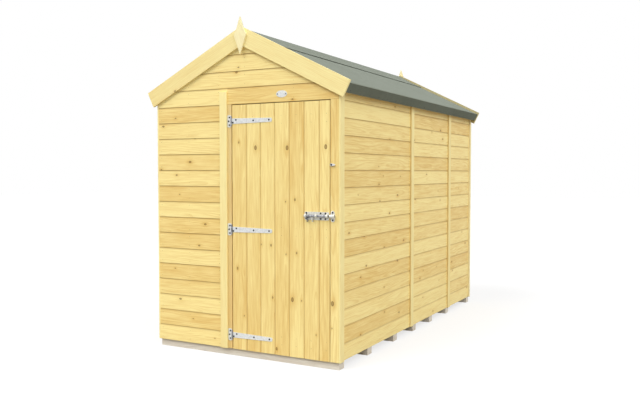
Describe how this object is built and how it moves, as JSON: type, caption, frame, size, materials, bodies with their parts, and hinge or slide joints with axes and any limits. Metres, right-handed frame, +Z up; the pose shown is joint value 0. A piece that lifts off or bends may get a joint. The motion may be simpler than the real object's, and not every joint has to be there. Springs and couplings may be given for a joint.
{
  "type": "apex garden shed with a single door",
  "caption": "Timber apex shed of grooved boards with one hinged door in the gable, a sliding bolt and a felted roof.",
  "frame": {"origin": "on the ground, below the middle of the shed", "axes": "+Z up, +Y from the door to the back wall along the ridge, +X to the right seen from the front"},
  "size_m": [1.639, 2.881, 2.3132],
  "materials": {
    "boards": "planed, pressure treated",
    "door_boards": "planed, pressure treated",
    "trim": "planed, pressure treated",
    "barge": "planed, pressure treated",
    "posts": "planed, pressure treated",
    "framing": "planed, pressure treated",
    "decking": "planed boards",
    "bearer": "sawn, pressure treated",
    "felt": "mineral felt, grey green",
    "zinc": "zinc plated steel"
  },
  "bodies": {
    "shed": {"front_wall_left": "boards", "front_gable": "boards", "back_wall": "boards", "left_wall_1": "boards", "left_wall_2": "boards", "left_wall_3": "boards", "right_wall_1": "boards", "right_wall_2": "boards", "right_wall_3": "boards", "front_cover_strip": "trim", "side_cover_strips": "trim", "corner_trim_front_left": "trim", "corner_trim_front_right": "trim", "corner_trim_back_left": "trim", "corner_trim_back_right": "trim", "barge_front_left": "barge", "barge_front_right": "barge", "barge_back_left": "barge", "barge_back_right": "barge", "finial_front": "barge", "finial_back": "barge", "hinge_post": "posts", "latch_post": "posts", "side_studs": "framing", "side_rails": "framing", "gable_studs": "framing", "gable_rails": "framing", "gable_rafters": "framing", "roof_battens": "framing", "floor_panels": "decking", "roof_deck_left": "decking", "roof_deck_right": "decking", "bearers": "bearer", "felt_left": "felt", "felt_right": "felt", "felt_ridge": "felt", "hinge_plates": "zinc", "bolt_keeper": "zinc", "oval_plate": "zinc"},
    "door": {"door_boards": "door_boards", "door_ledges": "framing", "door_braces": "framing", "hinge_straps": "zinc", "bolt_plate": "zinc"},
    "bolt": {"bolt_rod": "zinc"},
    "button": {"turn_button": "zinc"}
  },
  "joints": [
    {"name": "door_hinge", "type": "hinge", "parent": "shed", "child": "door", "pos_m": [-0.089, -1.4175, 0.875], "axis": [0, 0, -1], "range_deg": [0, 160]},
    {"name": "bolt_slide", "type": "slide", "parent": "door", "child": "bolt", "axis": [1, 0, 0], "range_m": [0, 0.035]},
    {"name": "button_turn", "type": "hinge", "parent": "shed", "child": "button", "pos_m": [0.6825, -1.4125, 1.315], "axis": [0, -1, 0], "range_deg": [0, 180]}
  ]
}
